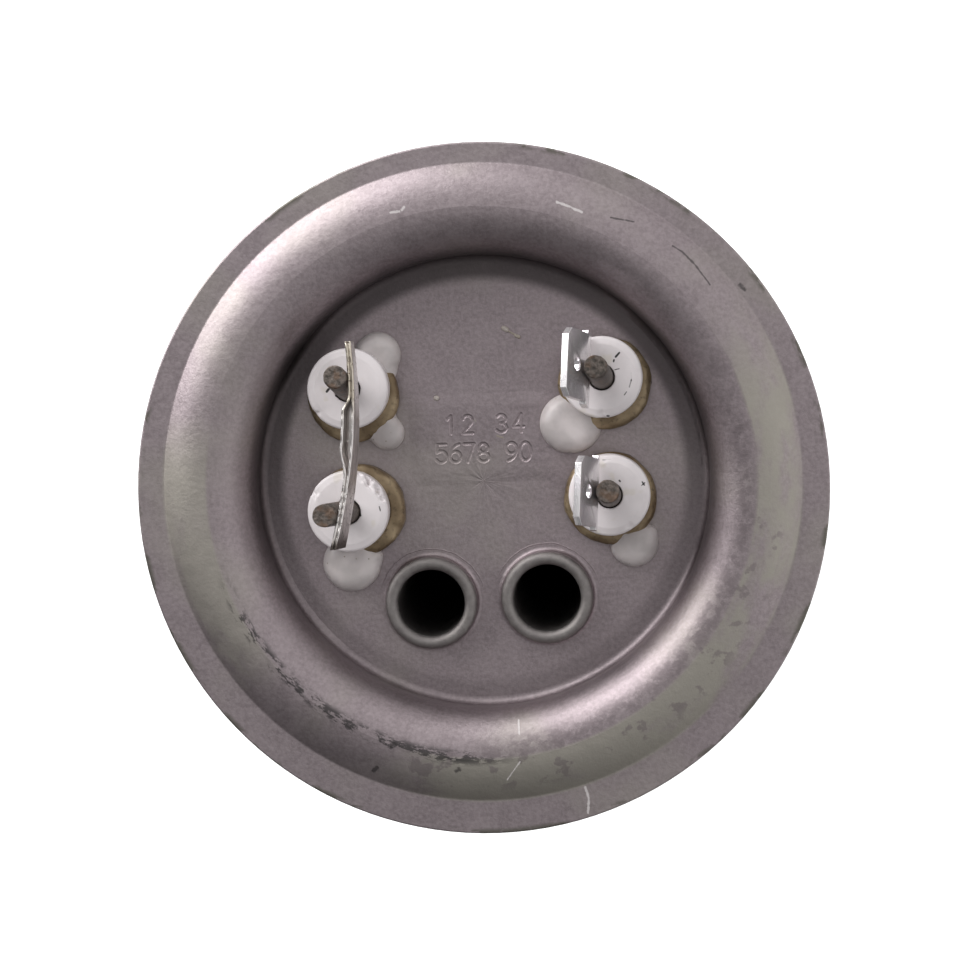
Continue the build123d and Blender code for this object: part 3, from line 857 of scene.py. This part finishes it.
def terminal_pin(name, seed):
    """A rod along its leaning line: rings from the middle of the sheared tip out to its edge, then
    down the side; the tip is tilted and rippled, and its edge is a little out of round."""
    flat = pin_radius - pin_tip_round
    tip_out = np.linspace(0, 1, 12)[:-1] * flat
    edge_turn = np.radians(np.linspace(0, 90, 6))
    down = np.concatenate([np.linspace(pin_tip - 0.3, floor_level - 1, 60), np.linspace(-9, pin_foot, 10)])
    edge_out = flat + pin_tip_round * np.sin(edge_turn)
    radii = np.concatenate([tip_out, edge_out, np.full(len(down), pin_radius)])
    levels = np.concatenate([np.full(len(tip_out), pin_tip),
                             pin_tip - pin_tip_round + pin_tip_round * np.cos(edge_turn), down])
    angle = np.linspace(0, 2 * np.pi, 72, endpoint=False)
    share_up = (levels - floor_level).clip(0)[:, None] / pin_height
    centre = np.array(terminals[name]) + np.array(pin_leans[name]) * share_up
    across = centre[:, :1] + radii[:, None] * np.cos(angle)
    along = centre[:, 1:] + radii[:, None] * np.sin(angle)
    points = np.stack([across, along, np.repeat(levels[:, None], len(angle), axis=1)], axis=-1)
    near_tip = ((levels - pin_tip + 1.2) / 1.2).clip(0, 1)[:, None]
    share = (radii / pin_radius)[:, None]
    draw = np.random.default_rng(seed)
    facets = abs(np.cos(2.5 * angle + draw.uniform(0, 3))) * 0.04 * near_tip * share ** 4
    rough = ripples(points, seed + 3, 1.2) * 0.02
    spread = np.stack([np.cos(angle), np.sin(angle)], axis=-1)[None]
    points[..., :2] -= spread * ((facets + abs(rough) * near_tip) * share)[..., None]
    tilt = draw.uniform(0, 2 * np.pi)
    slope = share * np.cos(angle - tilt) - 1
    points[..., 2] += near_tip * (pin_tip_slope * slope - 0.03 * abs(ripples(points, seed + 7, 0.9)))
    piece = surface(f"pin_{name}", points, close_columns=True)
    outward(piece)
    return piece


pin_skin = pin_finish()
for seed, name in enumerate(terminals):
    place_piece(terminal_pin(name, 50 + seed), pin_skin, "pin_steel", f"terminal_pin_{name}")


# Jumper strip
# A plated strip folded lengthwise and resistance-welded to both left pins. Its plies lie together
# at both ends; between the pins the left one bends away. Its cut edges are bright and speckled.
strip_foot = 4.2
strip_top = 7.78
strip_valley = 1.6
strip_ply = 0.38
strip_seam = 0.04
strip_fold_round = 0.3
strip_reach = 1.93
strip_bow = 2.0
strip_open = 0.9
strip_mouth = 10.6
strip_taper = {"lower": 4.2, "upper": 2.0}
strip_mouth_place = 0.585
strip_past = (4.5, 5.4)
strip_bright = (0.80, 0.76, 0.74)
strip_grey = (0.52, 0.49, 0.48)
strip_speck = (0.10, 0.07, 0.045)
strip_brass = (0.58, 0.50, 0.36)


def strip_section():
    """One half of the folded section, from the fold's middle out, up and over the ply and down
    inside: (offset from the ply's shift, height above the strip's foot). It also counts the
    points of the inside, which rise where the plies are pressed together."""
    half = strip_ply / 2
    high = strip_top - strip_foot
    outer = strip_seam + strip_ply
    inside = np.stack([np.full(8, strip_seam), np.linspace(high - half - 0.02, strip_valley, 8)], axis=1)
    outside = np.concatenate([
        [(0.0, 0.0)],
        arc_points((outer - strip_fold_round, strip_fold_round), strip_fold_round, -90, 0, 6),
        np.stack([np.full(10, outer), np.linspace(0.5, high - half - 0.1, 10)], axis=1),
        arc_points((strip_seam + half, high - half), half, 0, 180, 9),
    ])
    return np.concatenate([outside, inside]), len(inside)


def folded_strip():
    """The section and its mirror image carried along a bowed line through the welds; the left ply
    moves off by a squared sine of the distance into the mouth, and ripples bend the edges."""
    up_pin = (np.array([strip_foot, strip_top]) - floor_level)[:, None] / pin_height
    lower, upper = (np.array(terminals[name]) + np.array(pin_leans[name]) * up_pin
                    for name in ("lower_left", "upper_left"))
    span = upper[0, 1] - lower[0, 1]
    share = np.linspace(-strip_past[0] / span, 1 + strip_past[1] / span, 220)
    line_y = lower[0, 1] + span * share
    bow = strip_reach + strip_bow * share * (1 - share)
    foot_x, top_x = (lower[k, 0] + (upper[k, 0] - lower[k, 0]) * share + bow for k in (0, 1))
    off = (share - strip_mouth_place) * span
    inside = (strip_mouth / 2 - abs(off)) / np.where(off > 0, strip_taper["upper"], strip_taper["lower"])
    shift = strip_open * np.sin(np.pi / 2 * inside.clip(0, 1)) ** 2
    half, inner = strip_section()
    loop = np.concatenate([half, (half * [-1, 1])[::-1]])
    side = np.concatenate([np.zeros(len(half)), -np.ones(len(half))])
    valley = np.zeros(len(loop), dtype=bool)
    valley[len(half) - inner:len(half) + inner] = True
    shut = strip_top - strip_foot - 0.2
    pressed = 1 - (shift / 0.25).clip(0, 1)
    rise = np.where(valley, (shut - loop[:, 1]).clip(0), 0) * pressed[:, None]
    high = loop[:, 1] + rise
    up = high / (strip_top - strip_foot)
    across = foot_x[:, None] * (1 - up) + top_x[:, None] * up + side * shift[:, None] + loop[:, 0]
    along = np.repeat(line_y[:, None], len(loop), axis=1)
    level = strip_foot + high
    points = np.stack([across, along, level], axis=-1)
    free = np.minimum(abs(share), abs(share - 1))[:, None].clip(0, 0.15) / 0.15
    ply_places = np.stack(np.broadcast_arrays(side * 3, along, 0.0), axis=-1)
    points[..., 0] += ripples(ply_places, 71, 4.0) * 0.018 * free * up
    points[..., 2] += (ripples(points, 72, 1.3) * 0.03 - 0.05) * up ** 2
    for end, reach, drop in ((share[-1], 0.35, 0.12), (share[0], 0.5, 0.3)):
        points[..., 2] -= np.exp(-((share - end) * span / reach) ** 2)[:, None] * drop * up
    piece = surface("folded_jumper", points, close_columns=True)
    outward(piece)
    return piece


def strip_finish():
    """Plated strip: bright edges with dark and brassy specks near the top, greyer down its sides."""
    material, tree, place = blank("jumper_finish")
    x, y, z = add(tree, "SeparateXYZ", {0: place}).outputs
    specks = ramp(tree, cloud(tree, place, 0.45, detail=4.0, roughness=0.6), 0.56, 0.66)
    drawn = cloud(tree, place, 0.5, detail=4.0, stretch=(1, 0.15, 1))
    top = ramp(tree, z, (strip_top - 0.5) * mm, (strip_top - 0.12) * mm)
    colour = mix(tree, ramp(tree, drawn, 0.35, 0.65), strip_grey, strip_bright)
    brassy = product(tree, ramp(tree, y, 9 * mm, 13 * mm), product(tree, top, 0.6))
    colour = mix(tree, product(tree, top, 0.5), colour, strip_bright)
    colour = mix(tree, brassy, colour, strip_brass)
    ends = maths(tree, "ADD", ramp(tree, y, 10 * mm, 13 * mm), rest(tree, ramp(tree, y, 0.0, 3 * mm)))
    colour = mix(tree, product(tree, specks, product(tree, ends, 0.75)), colour, strip_speck)
    # Darker towards the strip's lower end.
    darker_lower_end = rest(tree, ramp(tree, y, -6.9 * mm, -5.2 * mm))
    colour = mix(tree, product(tree, darker_lower_end, 0.75), colour, strip_speck)
    rough = maths(tree, "ADD", 0.2, product(tree, drawn, 0.25))
    bump = relief(tree, drawn, 0.03, relief(tree, specks, -0.03))
    inputs = {"Base Color": colour, "Metallic": 1.0, "Roughness": rough, "Normal": bump}
    return finished(material, inputs)


place_piece(folded_strip(), strip_finish(), "jumper_steel", "jumper_strip")


# Spade tabs
# Blanked from bright nickel-plated strip for push-on connectors, bent outwards above the weld.
# The blanking leaves their edges rounded, and they mirror the white ceramic under them.
tab_bevel = 0.16
tab_bright = (0.95, 0.92, 0.93)
tab_dull = (0.86, 0.82, 0.85)


def tab_finish():
    """Bright plating with long faint rolling lines."""
    material, tree, place = blank("tab_finish")
    lines = cloud(tree, place, 0.5, detail=3.0, stretch=(1, 0.12, 1))
    smears = cloud(tree, place, 2.5, detail=3.0)
    colour = mix(tree, ramp(tree, smears, 0.42, 0.62), tab_bright, tab_dull)
    rough = maths(tree, "ADD", 0.16, product(tree, smears, 0.16))
    bump = relief(tree, smears, 0.02, relief(tree, lines, 0.004))
    inputs = {"Base Color": colour, "Metallic": 0.8, "Roughness": rough, "Normal": bump}
    return finished(material, inputs)


def bright_tab(row):
    """The node's own solid, its loose triangles merged into flat faces and its edges rounded."""
    mesh = nodes[f"spade_tab_{row}"].data.copy()
    mesh.materials.clear()
    piece = bpy.data.objects.new(f"bright_tab_{row}", mesh)
    bpy.context.scene.collection.objects.link(piece)
    shell = bmesh.new()
    shell.from_mesh(mesh)
    bmesh.ops.remove_doubles(shell, verts=shell.verts, dist=0.001 * mm)
    bmesh.ops.dissolve_limit(shell, angle_limit=math.radians(2), verts=shell.verts, edges=shell.edges)
    shell.to_mesh(mesh)
    shell.free()
    mesh.polygons.foreach_set("use_smooth", np.ones(len(mesh.polygons), dtype=bool))
    rounding = piece.modifiers.new("rounding", "BEVEL")
    rounding.width = tab_bevel * mm
    rounding.segments = 4
    rounding.limit_method = "ANGLE"
    rounding.angle_limit = math.radians(35)
    rounding.harden_normals = True
    return piece


tab_skin = tab_finish()
for row in ("upper", "lower"):
    place_piece(bright_tab(row), tab_skin, "tab_metal", f"spade_tab_{row}")


# Resin drops
# White sealing resin that overflowed the tube ends, ran over the brazed rings and set on the
# floor in smooth domes with steep edges. A few spatters were flung across the flange.
resin_height = 2.15
resin_run = 2.3
resin_fullness = 2.2
resin_pale = (0.61, 0.56, 0.555)
resin_shade = (0.48, 0.44, 0.435)
# The next colour serves the grit specks and also the painted shade at the foot.
resin_grit_and_shade = (0.16, 0.12, 0.05)

# Each drop: the point that sees all its outline, then its round runs
# (start x, start y, end x, end y, radius)
resin_runs = {
    "upper_left_outer": ((-13.2, 17.6), ((-13.4, 17.9, -13.3, 17.8, 2.95), (-13.0, 16.6, -12.2, 15.4, 1.15),
                                         (-15.2, 18.2, -14.4, 17.8, 1.3))),
    "upper_left_inner": ((-12.8, 8.2), ((-12.75, 7.1, -12.7, 7.1, 2.3), (-12.6, 9.0, -12.3, 10.7, 0.95),
                                        (-13.6, 7.2, -16.0, 7.2, 0.75))),
    "lower_left": ((-18.6, -10.0), ((-18.6, -10.3, -18.4, -10.3, 3.85), (-17.6, -9.6, -15.2, -9.5, 0.85))),
    "upper_right": ((12.2, 7.2), ((12.0, 7.2, 12.3, 7.2, 4.05),)),
    "lower_right": ((19.9, -9.4), ((19.9, -9.6, 20.1, -9.5, 3.05), (21.0, -8.6, 22.0, -8.1, 0.85),
                                   (18.6, -9.6, 18.6, -8.4, 1.6))),
}
# Spatters: the same, with the height that each one stands
spatter_runs = (
    (3.75, 20.45, 4.15, 20.2, 0.34, 0.22), (4.2, 20.1, 5.2, 19.5, 0.13, 0.10),
    (5.3, 19.4, 5.75, 19.15, 0.24, 0.15), (-5.86, 11.5, -5.78, 11.46, 0.36, 0.25),
    (-0.80, 8.22, -0.72, 8.14, 0.22, 0.10), (2.1, 6.0, 2.9, 5.7, 0.24, 0.10),
)


def run_distance(across, along, runs, blend=0.35):
    """Signed distance outside a group of round-ended runs, smoothly joined: a soft minimum."""
    total = 0
    for start_x, start_y, end_x, end_y, radius in runs:
        stroke = np.array([(start_x, start_y), (end_x, end_y)])
        total = total + np.exp(-(stroke_distance(across, along, stroke) - radius) / blend)
    return -blend * np.log(total)


def resin_dome(name, middle, runs, height, run, steps=220, rings=40):
    """Rays from the middle find the outline by halving; along each ray the height is a quarter
    of a full-shouldered ellipse of the depth inside the outline, and a flat foot closes the dome."""
    angle = np.linspace(0, 2 * np.pi, steps, endpoint=False)
    near, far = np.zeros(steps), np.full(steps, 9.0)
    for halving in range(26):
        half = (near + far) / 2
        ray_x, ray_y = middle[0] + half * np.cos(angle), middle[1] + half * np.sin(angle)
        inside = run_distance(ray_x, ray_y, runs) < 0
        near, far = np.where(inside, half, near), np.where(inside, far, half)
    share = np.sin(np.linspace(0, np.pi / 2, rings))[:, None]
    across = middle[0] + share * near * np.cos(angle)
    along = middle[1] + share * near * np.sin(angle)
    depth = (-run_distance(across, along, runs) / run).clip(0, 1)
    depth[-1] = 0
    rise = height * (1 - (1 - depth) ** resin_fullness) ** (1 / resin_fullness)
    top = np.stack([across, along, floor_level + rise], axis=-1)
    foot = np.stack([across, along, np.full(across.shape, floor_level - 0.01)], axis=-1)[::-8]
    piece = surface(name, np.concatenate([top, foot]), close_columns=True)
    outward(piece)
    return piece


def resin_finish():
    """Pale resin: faint clouds, a satin skin, sparse dark specks of grit, and painted shade round its foot.
    """
    material, tree, place = blank("resin_finish")
    clouds = cloud(tree, place, 3.5, detail=3.0)
    grit = add(tree, "TexVoronoi", {"Vector": place, "Scale": 1 / (0.8 * mm)})
    chosen = ramp(tree, add(tree, "SeparateColor", {0: grit.outputs["Color"]}).outputs[0], 0.80, 0.83)
    small = rest(tree, ramp(tree, grit.outputs["Distance"], 0.08, 0.16))
    specks = product(tree, small, chosen)
    z = add(tree, "SeparateXYZ", {0: place}).outputs[2]
    # Painted shade: the resin darkens at its foot, where it meets the floor.
    foot = rest(tree, ramp(tree, z, (floor_level + 0.05) * mm, (floor_level + 0.45) * mm))
    colour = mix(tree, ramp(tree, clouds, 0.35, 0.65), resin_shade, resin_pale)
    colour = mix(tree, product(tree, specks, 0.7), colour, resin_grit_and_shade)
    colour = mix(tree, product(tree, foot, 0.6), colour, resin_grit_and_shade)
    inputs = {"Base Color": colour, "Roughness": 0.36, "Normal": relief(tree, clouds, 0.12),
              "Subsurface Weight": 0.15, "Subsurface Radius": (0.4 * mm, 0.35 * mm, 0.3 * mm),
              "Subsurface Scale": 1.0}
    return finished(material, inputs)


resin_skin = resin_finish()
for name, (middle, runs) in resin_runs.items():
    dome = resin_dome(f"set_resin_{name}", middle, runs, resin_height, resin_run)
    place_piece(dome, resin_skin, "sealing_resin", f"resin_drop_{name}")
for number, (start_x, start_y, end_x, end_y, radius, height) in enumerate(spatter_runs):
    middle = ((start_x + end_x) / 2, (start_y + end_y) / 2)
    runs = ((start_x, start_y, end_x, end_y, radius),)
    dome = resin_dome(f"spatter_{number}", middle, runs, height, radius, steps=40, rings=8)
    place_piece(dome, resin_skin, "sealing_resin")
